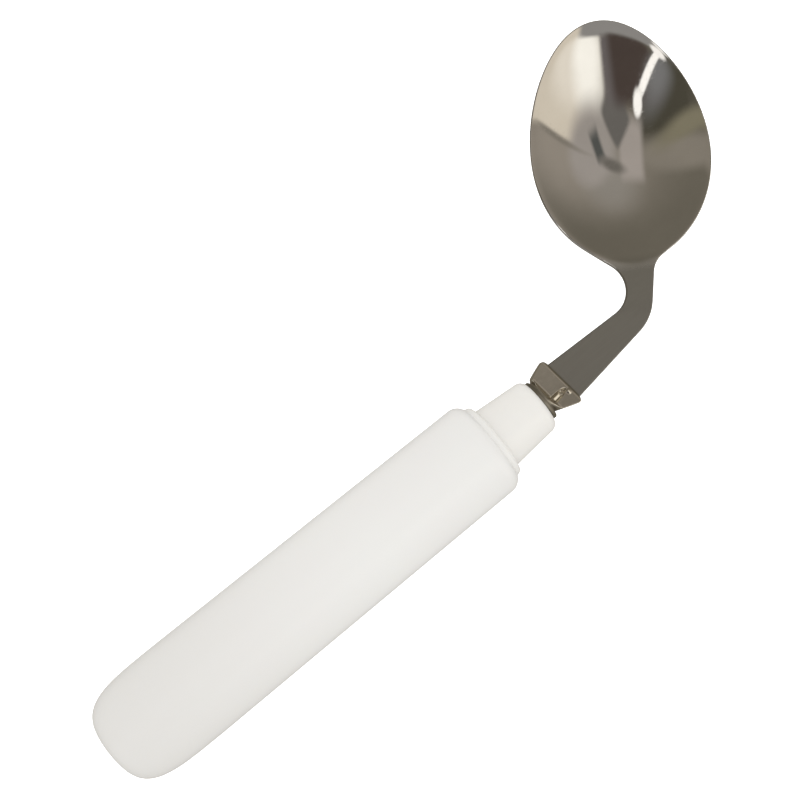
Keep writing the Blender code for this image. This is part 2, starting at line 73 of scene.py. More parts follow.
# Spoon stamping: sideways bend and neck
BEND_ANGLE = math.radians(59.5)
BEND_REACH = 0.0260
INNER_CORNER_SHIFT = 0.8  # of a corner along the shank, per inset of the face
OUTER_CORNER_SHIFT = -0.5
INNER_CORNER_REACH = 0.0306 + INNER_CORNER_SHIFT * FACE_INSET
INNER_BEND_RADIUS = 0.0069 + FACE_INSET
OUTER_CORNER_REACH = 0.0262 + OUTER_CORNER_SHIFT * FACE_INSET
OUTER_BEND_RADIUS = 0.0120 - FACE_INSET
HEEL_REACH = 0.0126 + FACE_INSET
HEEL_WIDTH = 0.0082 - 2 * FACE_INSET
HEEL_RADIUS = 0.0060 + FACE_INSET
NECK_RAMP = 0.016
SATIN_REACH = 0.0105  # from the bend to where the satin finish starts to fade
SATIN_FADE = 0.005

# Spoon stamping: bowl
BOWL_LENGTH = 0.0592 - 2 * FACE_INSET
BOWL_WIDTH = 0.0437 - 2 * FACE_INSET
BOWL_WIDEST = 0.0265 - FACE_INSET
BOWL_REACH = 0.0131 + FACE_INSET
BOWL_DEPTH = 0.0092
BOWL_THICKNESS = 0.0012
BOWL_POINTEDNESS = 0.10
HEEL_POINTEDNESS = 0.11
HEEL_SOFTNESS = 0.12
RIM_SOFTNESS = 0.012
TIP_STEEPNESS = 0.20
TIP_SKEW = 0.0009

# Ferrule
FERRULE_SHEET = 0.0006
FERRULE_DEPTH = 0.010
FERRULE_REACH = 0.00725
FLANGE_OVERHANG = 0.00095
FLANGE_THICKNESS = 0.0009
FLANGE_BACK = 0.00005  # from the nose's end
FLANGE_FRONT = 0.0009
FLANGE_EDGE = 0.0002
FLANGE_SHIFT = 0.0003
FLANGE_SLANT = 0.04  # how far back the left side lies, per width
FERRULE_NECK = 0.0001
NECK_FRONT = 0.0012
FLANGE_FADE = 0.0012  # length over which the dull flange fades out
PRESS = 0.65  # share of the tube's height that is pressed out in front of the neck
PRESS_RUN = 0.24  # share of the flare that this takes
CORNER_RUN = 0.24  # share of the flare in which the round tube gets its flat sides
FLARE_RATE = 0.8  # below 1 the sides spread early in the flare
MOUTH_REACH = 0.0077
MOUTH_BAND = 0.0009
MOUTH_GAP = 0.0006
MOUTH_SLANT = 0.122  # as the flange's
MOUTH_SHIFT = 0.00025
MOUTH_CORNER = 0.00025
MOUTH_RISE = 0.0003  # of the fold behind the mouth's edge, over the flattened sheet
MOUTH_CURL = 0.0008
LEFT_ROUNDING = (0.0009, 0.0013)  # of the mouth's corners in plan: along and across
RIGHT_ROUNDING = (0.0016, 0.0021)

# Crease on the ferrule's upper face, and the pinch at its tip: (sideways, height) points
CREASE_START = 0.0020  # from the nose's end
CREASE_END = 0.0065
CREASE_OFFSET = -0.0022  # sideways from the mouth's middle
CREASE_SLANT = 0.1
CREASE_HEAD = 0.12  # share of its length in which it reaches its full depth
CREASE_INSIDE = 0.3  # share of its depth on the inside
CREASE = [(0.00105, 0), (0.00065, -0.0008), (0.00028, -0.0001), (-0.00035, -0.00035), (-0.0006, -0.0007),
          (-0.00095, 0)]
CREASE_TIP = [(0.00105, 0), (0.0, -0.001), (-0.00095, 0)]
CREASE_TIP_RUN = (0.45, 0.8)  # shares of its length between which the ridge sinks into one valley
PINCH = [(-0.0021, 0), (-0.0024, 0.0004), (-0.0036, 0)]
PINCH_PLACE = 0.0065
PINCH_LENGTH = 0.0004

# Resin seal
SEAL_WALL = 0.00045

# Slim handle core
CORE_DIAMETER = 0.0161
CORE_TAIL = 0.014
NOSE_LENGTH = 0.0136
NOSE_TIP_WALL = 0.0024
NOSE_EDGE_RADIUS = 0.0022

# Ring between core and grip
BUSH_WALL = 0.0016
BUSH_DEPTH = 0.014
BUSH_PROUD = 0.0017
BUSH_EDGE_RADIUS = 0.0013
SEAM_FILLET = 0.0004

# Grip shell
GRIP_LENGTH = 0.1141
GRIP_WALL = 0.00195
GRIP_DRAFT = math.radians(0.62)
LIP_RADIUS = 0.0035
BUTT_ROUND_LENGTH = 0.0222
BUTT_FLAT_DIAMETER = 0.008
BUTT_WALL = 0.004
BUTT_SQUARENESS = 3.9
BUTT_SHADE_AND_WEAR_LENGTH = 0.080  # from the butt end to where the painted shade and the dulling from handling end

# Fineness
ROUND_STEPS = 144
RING_STEPS = 360
CURVE_STEPS = 24
ROUNDING_STEPS = 6
FLARE_STEPS = 48
INSIDE_STEPS = 12
BODY_STEPS = 24
SPOON_COLUMNS = 64
STRAIGHT_ROWS = 12
BEND_ROWS = 36
BOWL_ROWS = 44
SEARCH_STEPS = 400
SLOPE_STEP = 0.0001  # over which a face's slope is measured
MERGE_DISTANCE = 1e-6
SHARP_EDGE = math.radians(40)
RIM_SHARP_EDGE = math.radians(12)

# Places along the handle's axis
BUSH_FRONT = GRIP_LENGTH + BUSH_PROUD
NOSE_END = BUSH_FRONT + NOSE_LENGTH
TANG_END = NOSE_END - TANG_LENGTH
CORE_END = TANG_END - CORE_TAIL
FERRULE_SEAT = NOSE_END + FIT_GAP
TUBE_END = FERRULE_SEAT - FERRULE_DEPTH
FLARE_START = FERRULE_SEAT + FLANGE_THICKNESS + FERRULE_NECK
MOUTH = NOSE_END + FERRULE_REACH
BEND = MOUTH + BEND_REACH
PRESS_SHIFT = FERRULE_REACH * math.tan(SHANK_LEAN) + MOUTH_SHIFT

# Radii, from the tang outwards
TANG_SPACE = (TANG_WIDTH / 2 + FIT_GAP, SHANK_THICKNESS / 2 + FIT_GAP)
SEAL_RADIUS = math.hypot(*TANG_SPACE) + SEAL_WALL
TUBE_RADIUS = SEAL_RADIUS + FIT_GAP + FERRULE_SHEET
SOCKET_RADIUS = TUBE_RADIUS + FIT_GAP
NOSE_TIP_RADIUS = SOCKET_RADIUS + NOSE_TIP_WALL
CORE_RADIUS = CORE_DIAMETER / 2
BUSH_BORE = CORE_RADIUS + FIT_GAP
BUSH_RADIUS = BUSH_BORE + BUSH_WALL
GRIP_BORE = BUSH_RADIUS + FIT_GAP
GRIP_FRONT_RADIUS = GRIP_BORE + GRIP_WALL
LIP_TURN = math.acos(1 - GRIP_WALL / LIP_RADIUS)
LIP_START = GRIP_LENGTH - LIP_RADIUS * math.sin(LIP_TURN)
GRIP_TAPER = (LIP_START - BUTT_ROUND_LENGTH) * math.tan(GRIP_DRAFT)
GRIP_BUTT_RADIUS = GRIP_FRONT_RADIUS + GRIP_TAPER - OUTLINE_TRIM

# Bowl, in its own plan: u along its axis from the crossing, v to its left
BOWL_AXIS = Vector((math.cos(BEND_ANGLE), math.sin(BEND_ANGLE)))
BOWL_LEFT = Vector((-BOWL_AXIS.y, BOWL_AXIS.x))
HEEL_LENGTH = BOWL_WIDEST
TIP_LENGTH = BOWL_LENGTH - BOWL_WIDEST
WIDEST = BOWL_REACH + BOWL_WIDEST
CUBIC_TERM = ((HEEL_LENGTH / TIP_LENGTH) ** 2 - 1) / (HEEL_LENGTH ** 2 * BOWL_LENGTH)
SQUARE_TERM = (1 - CUBIC_TERM * TIP_LENGTH ** 3) / TIP_LENGTH ** 2

# Colours: light and dark tone of each material
GRIP_TONES = ((0.727, 0.724, 0.706), (0.727, 0.713, 0.701))
# painted shade: the grip's darker tones towards its butt end
BUTT_SHADE_TONES = ((0.672, 0.662, 0.643), (0.662, 0.650, 0.630))
RING_TONES = ((0.740, 0.730, 0.707), (0.726, 0.715, 0.690))
CORE_TONES = ((0.740, 0.726, 0.698), (0.730, 0.714, 0.686))
REAR_TONES = ((0.62, 0.61, 0.58), (0.56, 0.55, 0.52))
BOWL_TONES = ((0.65, 0.63, 0.60), (0.60, 0.58, 0.55))
SATIN_TONES = ((0.342, 0.332, 0.300), (0.298, 0.288, 0.258))
FERRULE_TONES = ((0.66, 0.615, 0.53), (0.60, 0.555, 0.47))
FLANGE_TONES = ((0.38, 0.35, 0.295), (0.31, 0.285, 0.235))
PIN_TONES = ((0.52, 0.52, 0.52), (0.42, 0.42, 0.42))
RESIN_TONES = ((0.66, 0.56, 0.36), (0.42, 0.33, 0.17))

# Roughness of each material: one value for plastic, the smoothest and dullest for steel and resin
GRIP_ROUGHNESS = 0.33
RING_ROUGHNESS = 0.34
CORE_ROUGHNESS = 0.33
REAR_ROUGHNESS = 0.48
BOWL_ROUGHNESS = (0.03, 0.05)
FERRULE_ROUGHNESS = (0.10, 0.16)
PIN_ROUGHNESS = (0.25, 0.40)
RESIN_ROUGHNESS = (0.2, 0.4)

# Roughness that wear or brushing adds
HANDLED_DULLNESS = 0.05
SATIN_DULLNESS = 0.27
FLANGE_DULLNESS = 0.40
SCUFF_DULLNESS = 0.08
SCRATCH_DULLNESS = 0.06

# Plastic finish: noise scales along each axis, the noise levels that show, and heights
PLASTIC_CLOUDS = (60, 60, 60)
PLASTIC_CLOUD_LEVELS = (0.1, 0.9)
SHEEN_LEVELS = (0.2, 0.8)
SHEEN_SPREAD = 0.03  # of the roughness, to both sides
SKIN = (2600, 2600, 2600)
SKIN_HEIGHT = 0.000002
SCUFFS = (70, 2100, 2100)
SCUFF_TURN = 0.5
SCUFF_LEVELS = (0.68, 0.76)
SCUFF_HEIGHT = 0.000001
PLASTIC_IOR = 1.5
PLASTIC_SCATTER = 0.08
PLASTIC_SCATTER_DEPTH = 0.0012
PLASTIC_SCATTER_COLOUR = (1.0, 0.9, 0.75)

# Steel finish, in the same way
STEEL_CLOUDS = (90, 90, 90)
STEEL_CLOUD_LEVELS = (0.2, 0.8)
STEEL_WAVES = (70, 70, 70)
WAVE_HEIGHT = 0.000008
POLISHING_LINES = (160, 5200, 5200)
LINE_LEVELS = (0.75, 1.25)  # of lines and clouds added up
LINE_HEIGHT = 0.00000001
HAIRS = (60, 3400, 3400)
HAIR_TURN = 0.6
CROSS_HAIRS = (75, 2900, 2900)
CROSS_HAIR_TURN = -1.1
SCRATCH_LEVELS = (0.72, 0.78)
SCRATCH_HEIGHT = 0.0000004
FERRULE_GRAIN_TURN = 1.2
BRUSHED_GRAIN = (150, 4200, 4200)

# Resin finish
RESIN_CLOUDS = (400, 400, 400)
RESIN_CLOUD_LEVELS = (0.2, 0.8)
RESIN_SCATTER = 0.3
RESIN_SCATTER_DEPTH = 0.001

# Camera
CAMERA_TARGET = Vector((0.00051, -0.00423, 0.012))
CAMERA_DISTANCE = 0.400
CAMERA_LEAN = math.radians(2.84)  # from straight above towards the butt end
CAMERA_ROLL = math.radians(38.93)
CAMERA_LENS = 75.93
SENSOR_WIDTH = 36.0
CLIP_START = 0.01

# Studio
FLOOR_SIZE = 6.0
FLOOR_COLOUR = (0.93, 0.93, 0.93)
FLOOR_ROUGHNESS = 0.9
FLOOR_GLOW = 0.9
WHITE = (1.0, 1.0, 1.0)
DOME_ZENITH = (1.18, 1.18, 1.17)
DOME_HORIZON = (1.25, 1.24, 1.215)
ROOM_GREY = (0.200, 0.182, 0.147)
NADIR_GUARD = 0.001  # keeps the sky map finite straight below
SQUARINGS = {"oval": 1, "panel": 3}  # the more, the squarer the patch

# The room that the steel mirrors, as soft patches of the sky map, each laid over those before it:
# shape, middle, half size, turn in degrees, softness, colour
ROOM = {
    "pale wall": ("oval", (0.58, 0.14), (0.68, 0.29), 0, 0.8, (0.41, 0.37, 0.32)),
    "ceiling": ("oval", (0.17, 0.22), (0.24, 0.18), 0, 0.7, (0.39, 0.365, 0.33)),
    "dark corner": ("oval", (-0.39, -0.18), (0.34, 0.17), 42, 0.35, (0.095, 0.088, 0.066)),
    "right wall": ("oval", (-0.46, 0.06), (0.44, 0.09), 0, 0.5, (0.33, 0.30, 0.255)),
    "shelf": ("oval", (-0.53, -0.08), (0.25, 0.055), 20, 0.6, (0.30, 0.275, 0.195)),
    "window": ("panel", (0.70, -0.21), (0.47, 0.30), 3, 0.06, (0.92, 0.84, 0.71)),
    "window side": ("oval", (0.42, -0.20), (0.30, 0.14), 14, 0.5, (1.12, 1.05, 0.93)),
    "bright pane": ("oval", (0.29, -0.23), (0.15, 0.17), 0, 0.6, (1.47, 1.45, 1.37)),
    "lintel": ("panel", (-0.225, -0.672), (0.71, 0.26), 10, 0.08, (0.38, 0.37, 0.36)),
    "lit ceiling": ("oval", (0.31, 0.09), (0.25, 0.16), 33, 0.3, (0.48, 0.445, 0.415)),
    "light beam": ("panel", (-0.06, 0.05), (0.10, 0.15), 0, 0.3, (0.53, 0.485, 0.45)),
    "wedge": ("panel", (0.058, -0.09), (0.092, 0.092), 45, 0.2, (0.20, 0.19, 0.178)),
    "doorway side": ("panel", (0.055, -0.25), (0.09, 0.115), 6, 0.3, (0.20, 0.18, 0.18)),
    "doorway": ("panel", (-0.13, -0.275), (0.20, 0.13), 6, 0.25, (0.095, 0.073, 0.064)),
    "glass": ("oval", (-0.345, -0.265), (0.18, 0.07), 41, 0.8, (0.26, 0.26, 0.265)),
    "lamp foot": ("oval", (-0.138, -0.148), (0.034, 0.046), -20, 0.3, (1.55, 1.53, 1.49)),
    "lamp": ("panel", (-0.30, -0.30), (0.20, 0.019), 41, 0.25, (1.55, 1.53, 1.49)),
    "lamp shade": ("oval", (-0.44, -0.43), (0.075, 0.055), 20, 0.3, (1.45, 1.43, 1.40)),
    "clock": ("panel", (0.245, 0.05), (0.042, 0.064), 29, 0.5, (0.125, 0.13, 0.125)),
    "trail": ("oval", (0.12, 0.125), (0.11, 0.035), -8, 0.6, (0.21, 0.195, 0.175)),
    "rail": ("oval", (0.68, 0.10), (0.26, 0.014), 0, 0.8, (0.30, 0.275, 0.235)),
}


def node(tree, kind, inputs=None, **settings):
    """Add a shader node: settings are its options, inputs are sockets to link or plain values."""
    made = tree.nodes.new(kind)
    for key, value in settings.items():
        setattr(made, key, value)
    for key, value in (inputs or {}).items():
        if isinstance(value, bpy.types.NodeSocket):
            tree.links.new(value, made.inputs[key])
        else:
            made.inputs[key].default_value = value
    return made


def mix_colour(tree, factor, first, second):
    """A mix of two colours, each a socket or three numbers."""
    made = node(tree, "ShaderNodeMix", {"Factor": factor}, data_type="RGBA")
    for name, colour in (("A", first), ("B", second)):
        socket = next(s for s in made.inputs if s.name == name and s.type == "RGBA")
        if isinstance(colour, bpy.types.NodeSocket):
            tree.links.new(colour, socket)
        else:
            socket.default_value = (*colour, 1.0)
    return next(s for s in made.outputs if s.type == "RGBA")


def ranged(tree, value, low, high, to_low=0.0, to_high=1.0):
    """A value carried smoothly from one range to another."""
    settings = {"Value": value, "From Min": low, "From Max": high, "To Min": to_low, "To Max": to_high}
    return node(tree, "ShaderNodeMapRange", settings, interpolation_type="SMOOTHSTEP").outputs["Result"]


def stretched_noise(tree, scale, turn=0.0, detail=3.0):
    """Noise with its own scale along each axis of the piece, turned about the upright axis."""
    place = node(tree, "ShaderNodeTexCoord").outputs["Object"]
    turned_place = node(tree, "ShaderNodeMapping",
                        {"Vector": place, "Rotation": (0, 0, turn), "Scale": scale})
    noise = node(tree, "ShaderNodeTexNoise", {"Vector": turned_place.outputs["Vector"], "Scale": 1.0,
                                              "Detail": detail})
    return noise.outputs["Fac"]


def add_bump(tree, height, distance, below=None):
    """Relief of a distance in metres, laid over the relief below it."""
    bump = node(tree, "ShaderNodeBump", {"Height": height, "Strength": 1.0, "Distance": distance})
    if below:
        tree.links.new(below, bump.inputs["Normal"])
    return bump.outputs["Normal"]


def new_material(name):
    """A node material, with its tree and its shader."""
    material = bpy.data.materials.new(name)
    material.use_nodes = True
    return material, material.node_tree, material.node_tree.nodes["Principled BSDF"]


def plastic(name, tones, roughness):
    """Smooth moulded plastic with faint clouding, a fine moulded skin and a few hairline scuffs."""
    material, tree, shader = new_material(name)
    light, dark = tones
    clouds = stretched_noise(tree, PLASTIC_CLOUDS, detail=2.0)
    skin = stretched_noise(tree, SKIN, detail=2.0)
    scuffs = stretched_noise(tree, SCUFFS, turn=SCUFF_TURN, detail=1.0)
    scuff = ranged(tree, scuffs, *SCUFF_LEVELS)
    colour = mix_colour(tree, ranged(tree, clouds, *PLASTIC_CLOUD_LEVELS), dark, light)
    tree.links.new(colour, shader.inputs["Base Color"])
    sheen = ranged(tree, clouds, *SHEEN_LEVELS, roughness - SHEEN_SPREAD, roughness + SHEEN_SPREAD)
    wear = {0: scuff, 1: SCUFF_DULLNESS, 2: sheen}
    dulled = node(tree, "ShaderNodeMath", wear, operation="MULTIPLY_ADD")
    tree.links.new(dulled.outputs["Value"], shader.inputs["Roughness"])
    bumps = add_bump(tree, skin, SKIN_HEIGHT)
    tree.links.new(add_bump(tree, scuff, SCUFF_HEIGHT, bumps), shader.inputs["Normal"])
    shader.inputs["IOR"].default_value = PLASTIC_IOR
    shader.inputs["Subsurface Weight"].default_value = PLASTIC_SCATTER
    shader.inputs["Subsurface Radius"].default_value = PLASTIC_SCATTER_COLOUR
    shader.inputs["Subsurface Scale"].default_value = PLASTIC_SCATTER_DEPTH
    return material


def steel(name, tones, roughness, grain_turn):
    """Stainless steel: polishing lines, slow waviness, cloudy handling marks and hairline scratches."""
    material, tree, shader = new_material(name)
    light, dark = tones
    clouds = stretched_noise(tree, STEEL_CLOUDS, detail=4.0)
    waves = stretched_noise(tree, STEEL_WAVES, detail=1.0)
    lines = stretched_noise(tree, POLISHING_LINES, turn=grain_turn, detail=4.0)
    hairs = stretched_noise(tree, HAIRS, turn=grain_turn + HAIR_TURN, detail=0.0)
    cross_hairs = stretched_noise(tree, CROSS_HAIRS, turn=grain_turn + CROSS_HAIR_TURN, detail=0.0)
    both = node(tree, "ShaderNodeMath", {0: hairs, 1: cross_hairs}, operation="MAXIMUM").outputs["Value"]
    scratch = ranged(tree, both, *SCRATCH_LEVELS)
    tone = node(tree, "ShaderNodeMath", {0: clouds, 1: lines}, operation="ADD").outputs["Value"]
    colour = mix_colour(tree, ranged(tree, clouds, *STEEL_CLOUD_LEVELS), dark, light)
    tree.links.new(colour, shader.inputs["Base Color"])
    polish = ranged(tree, tone, *LINE_LEVELS, *roughness)
    wear = {0: scratch, 1: SCRATCH_DULLNESS, 2: polish}
    dulled = node(tree, "ShaderNodeMath", wear, operation="MULTIPLY_ADD")
    tree.links.new(dulled.outputs["Value"], shader.inputs["Roughness"])
    bumps = add_bump(tree, waves, WAVE_HEIGHT)
    bumps = add_bump(tree, lines, LINE_HEIGHT, bumps)
    tree.links.new(add_bump(tree, scratch, SCRATCH_HEIGHT, bumps), shader.inputs["Normal"])
    shader.inputs["Metallic"].default_value = 1.0
    return material


def dull_end(material, axis, start, length, tones, dullness):
    """Make a surface duller and give it other tones behind a place along an axis, fading out over a length
    in front of it; on the grip these tones are painted shade.
    """
    tree = material.node_tree
    shader = tree.nodes["Principled BSDF"]
    place = node(tree, "ShaderNodeTexCoord").outputs["Object"]
    along = node(tree, "ShaderNodeVectorMath", {0: place, 1: axis}, operation="DOT_PRODUCT").outputs["Value"]
    first = start.dot(axis)
    dull = ranged(tree, along, first, first + length, 1.0, 0.0)
    light, dark = tones
    # on the grip these tones are painted shade; on the steel they are the satin shank's and the dull
    # flange's tones
    brushed_and_shaded = mix_colour(tree, stretched_noise(tree, BRUSHED_GRAIN), dark, light)
    colour = shader.inputs["Base Color"].links[0].from_socket
    tree.links.new(mix_colour(tree, dull, colour, brushed_and_shaded), shader.inputs["Base Color"])
    rough = shader.inputs["Roughness"].links[0].from_socket
    duller = node(tree, "ShaderNodeMath", {0: dull, 1: dullness, 2: rough}, operation="MULTIPLY_ADD")
    tree.links.new(duller.outputs["Value"], shader.inputs["Roughness"])


def grip_plastic(placed):
    """Pale plastic with painted shade darkening it towards the butt end, where handling has also left it a
    little duller.
    """
    material = plastic("grip_plastic", GRIP_TONES, GRIP_ROUGHNESS)
    along = placed.col[0].to_3d()
    # the darker tones towards the butt end are painted shade
    dull_end(material, along, placed.translation, BUTT_SHADE_AND_WEAR_LENGTH, BUTT_SHADE_TONES, HANDLED_DULLNESS)
    return material


def spoon_steel(placed):
    """Steel that is polished in the bowl and satin along the neck and the shank."""
    material = steel("spoon_steel", BOWL_TONES, BOWL_ROUGHNESS, BEND_ANGLE)
    neck = placed @ plan_point(SATIN_REACH, 0).to_3d()
    dull_end(material, BOWL_AXIS.to_3d(), neck, SATIN_FADE, SATIN_TONES, SATIN_DULLNESS)
    return material


def ferrule_steel(placed):
    """Steel with a warm tone, pressed smooth, with a dull flange."""
    material = steel("ferrule_steel", FERRULE_TONES, FERRULE_ROUGHNESS, FERRULE_GRAIN_TURN)
    along = (placed.col[0] + MOUTH_SLANT * placed.col[1]).to_3d()
    flange = placed @ Vector((NOSE_END + FLANGE_FRONT, 0, 0))
    dull_end(material, along, flange, FLANGE_FADE, FLANGE_TONES, FLANGE_DULLNESS)
    return material


def resin(name):
    """Cast resin: honey coloured, cloudy, a little see-through."""
    material, tree, shader = new_material(name)
    light, dark = RESIN_TONES
    clouds = stretched_noise(tree, RESIN_CLOUDS, detail=4.0)
    tree.links.new(mix_colour(tree, clouds, dark, light), shader.inputs["Base Color"])
    cloudy = ranged(tree, clouds, *RESIN_CLOUD_LEVELS, *RESIN_ROUGHNESS)
    tree.links.new(cloudy, shader.inputs["Roughness"])
    shader.inputs["Subsurface Weight"].default_value = RESIN_SCATTER
    shader.inputs["Subsurface Scale"].default_value = RESIN_SCATTER_DEPTH
    return material


def handle_frame(record):
    """Where the handle's own frame lies: the butt end's middle, X against the mount's axis."""
    mount = next(m for m in record["mounts"] if m["name"] == "butt_end")
    along = -Vector(mount["axis"]).normalized()
    left = Vector((0, 1, 0))
    up = along.cross(left)
    placed = Matrix((along, left, up)).transposed().to_4x4()
    placed.translation = Vector(mount["pos_m"])
    return placed


def add_piece(name, bm, placed, node_name, material, sharp=SHARP_EDGE):
    """A new piece that stands for a CAD node and rides on the spoon's one body."""
    mesh = bpy.data.meshes.new(name)
    bm.to_mesh(mesh)
    bm.free()
    mesh.transform(placed)
    mesh.shade_smooth()
    mesh.set_sharp_from_angle(angle=sharp)
    mesh.materials.append(material)
    piece = bpy.data.objects.new(name, mesh)
    bpy.context.scene.collection.objects.link(piece)
    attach(piece, "root")
    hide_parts(node_name)


def turned(profile, steps, closed=False):
    """Turn (x, radius) points about the handle's axis into one closed solid."""
    bm = bmesh.new()
    verts = [bm.verts.new((x, 0, radius)) for x, radius in profile]
    edges = [bm.edges.new(pair) for pair in zip(verts, verts[1:])]
    if closed:
        edges.append(bm.edges.new((verts[-1], verts[0])))
    bmesh.ops.spin(bm, geom=verts + edges, cent=(0, 0, 0), axis=(1, 0, 0),
                   angle=math.tau, steps=steps, use_merge=True)
    bmesh.ops.remove_doubles(bm, verts=bm.verts[:], dist=MERGE_DISTANCE)
    bmesh.ops.recalc_face_normals(bm, faces=bm.faces[:])
    return bm


def round_corner(x, radius, edge, turn=math.pi / 2):
    """Points of a rounded front edge that starts at (x, radius) and turns inwards."""
    angles = [turn * step / CURVE_STEPS for step in range(CURVE_STEPS + 1)]
    return [(x + edge * math.sin(a), radius - edge * (1 - math.cos(a))) for a in angles]


def hollow_corner(x, radius, size):
    """Points of a hollow rounding from a face at x onto the round surface in front of it."""
    angles = [math.pi / 2 * step / ROUNDING_STEPS for step in range(ROUNDING_STEPS + 1)]
    return [(x + size * (1 - math.cos(a)), radius + size * (1 - math.sin(a))) for a in angles]


def butt_curve(start, length, radius, flat_radius):
    """Points of a squarish rounded end, from its flat face out to its full radius."""
    power = 2 / BUTT_SQUARENESS
    first = math.asin((flat_radius / radius) ** (1 / power))
    flat_drop = math.cos(first) ** power
    points = []
    for step in range(CURVE_STEPS + 1):
        angle = first + (math.pi / 2 - first) * step / CURVE_STEPS
        drop = max(0, math.cos(angle)) ** power
        points.append((start + length * (1 - drop / flat_drop), radius * math.sin(angle) ** power))
    return points


def straight_run(start, end, steps):
    """Points between two (x, radius) points, both left out."""
    shares = [step / steps for step in range(1, steps)]
    return [tuple(a + (b - a) * share for a, b in zip(start, end)) for share in shares]


def make_grip(placed, material):
    flat_radius = BUTT_FLAT_DIAMETER / 2
    butt = butt_curve(OUTLINE_TRIM, BUTT_ROUND_LENGTH, GRIP_BUTT_RADIUS, flat_radius)
    lip = round_corner(LIP_START, GRIP_FRONT_RADIUS, LIP_RADIUS, LIP_TURN)
    outside = [(OUTLINE_TRIM, 0)] + butt + straight_run(butt[-1], lip[0], BODY_STEPS) + lip
    outside.append((GRIP_LENGTH, GRIP_BORE))
    inside = [(BUTT_WALL, 0)] + butt_curve(BUTT_WALL, BUTT_ROUND_LENGTH, GRIP_BORE, flat_radius)
    bm = turned(outside + inside[::-1], ROUND_STEPS)
    add_piece("grip", bm, placed, "grip_shell", material)


def make_bush(placed, material):
    back = GRIP_LENGTH - BUSH_DEPTH
    profile = [(back, BUSH_BORE), (back, BUSH_RADIUS), (GRIP_LENGTH - SEAM_FILLET, BUSH_RADIUS)]
    profile += hollow_corner(GRIP_LENGTH, BUSH_RADIUS, SEAM_FILLET)
    profile += round_corner(BUSH_FRONT - BUSH_EDGE_RADIUS, BUSH_RADIUS, BUSH_EDGE_RADIUS)
    profile.append((BUSH_FRONT, BUSH_BORE))
    bm = turned(profile, ROUND_STEPS, closed=True)
    add_piece("grip_ring", bm, placed, "front_bush", material)


def make_core(placed, material):
    socket_end = TUBE_END - FIT_GAP
    tip = round_corner(NOSE_END - NOSE_EDGE_RADIUS, NOSE_TIP_RADIUS, NOSE_EDGE_RADIUS)
    foot = hollow_corner(BUSH_FRONT, CORE_RADIUS, SEAM_FILLET)
    profile = [(CORE_END, 0), (CORE_END, CORE_RADIUS), (BUSH_FRONT - SEAM_FILLET, CORE_RADIUS)] + foot
    profile += straight_run(foot[-1], tip[0], BODY_STEPS) + tip
    profile += [(NOSE_END, SOCKET_RADIUS), (socket_end, SOCKET_RADIUS), (socket_end, 0)]
    bm = turned(profile, ROUND_STEPS)
    add_piece("core_and_nose", bm, placed, "handle_core", material)


def rounded_ring(half_width, half_height, corner, count):
    """Evenly spread (y, z) points round a tube pressed flat: four flats and four round corners."""
    flat = 2 * (half_width - corner)
    wall = 2 * (half_height - corner)
    bend = math.pi / 2 * corner
    half_round = flat + wall + 2 * bend
    points = []
    for step in range(count):
        along = step / count * 2 * half_round
        side = 1
        if along >= half_round:
            along -= half_round
            side = -1
        if along < flat:
            y, z = along - flat / 2, half_height
        elif along < flat + bend:
            angle = (along - flat) / corner
            y, z = flat / 2 + corner * math.sin(angle), wall / 2 + corner * math.cos(angle)
        elif along < flat + bend + wall:
            y, z = half_width, wall / 2 - (along - flat - bend)
        else:
            angle = (along - flat - bend - wall) / corner
            y, z = flat / 2 + corner * math.cos(angle), -wall / 2 - corner * math.sin(angle)
        points.append((side * y, side * z))
    return points


def bell(value, middle, width):
    """1 at the middle, falling smoothly to 0 on both sides."""
    return math.exp(-((value - middle) / width) ** 2)


def soft_step(value):
    """Smooth rise from 0 to 1, level at both ends."""
    value = min(1, max(0, value))
    return value * value * (3 - 2 * value)


def height_at(points, place):
    """Height over a place along a line of (place, height) points, 0 beyond its ends."""
    for (start, low), (end, high) in zip(points, points[1:]):
        if end <= place <= start:
            return low + (high - low) * (place - start) / (end - start)
    return 0


def crease(reach, y):
    """Height of the leaf-shaped crease, a ridge between two valleys, and of the pinch at its tip."""
    pinch = height_at(PINCH, y) * bell(reach, PINCH_PLACE, PINCH_LENGTH)
    along = (reach - CREASE_START) / (CREASE_END - CREASE_START)
    if not 0 < along < 1:
        return pinch
    taper = math.sqrt(1 - along ** 3)
    across = (y - CREASE_OFFSET - CREASE_SLANT * (reach - CREASE_START)) / taper
    first, last = CREASE_TIP_RUN
    sunk = soft_step((along - first) / (last - first))
    height = height_at(CREASE, across) * (1 - sunk) + height_at(CREASE_TIP, across) * sunk
    return pinch + height * taper * soft_step(along / CREASE_HEAD)


def rounded_in(reach, rounding):
    """How far a mouth corner's rounding draws the edge in at a reach."""
    length, depth = rounding
    along = min(1, max(0, 1 - (MOUTH_REACH - reach) / length))
    return depth * (1 - math.sqrt(1 - along ** 2))


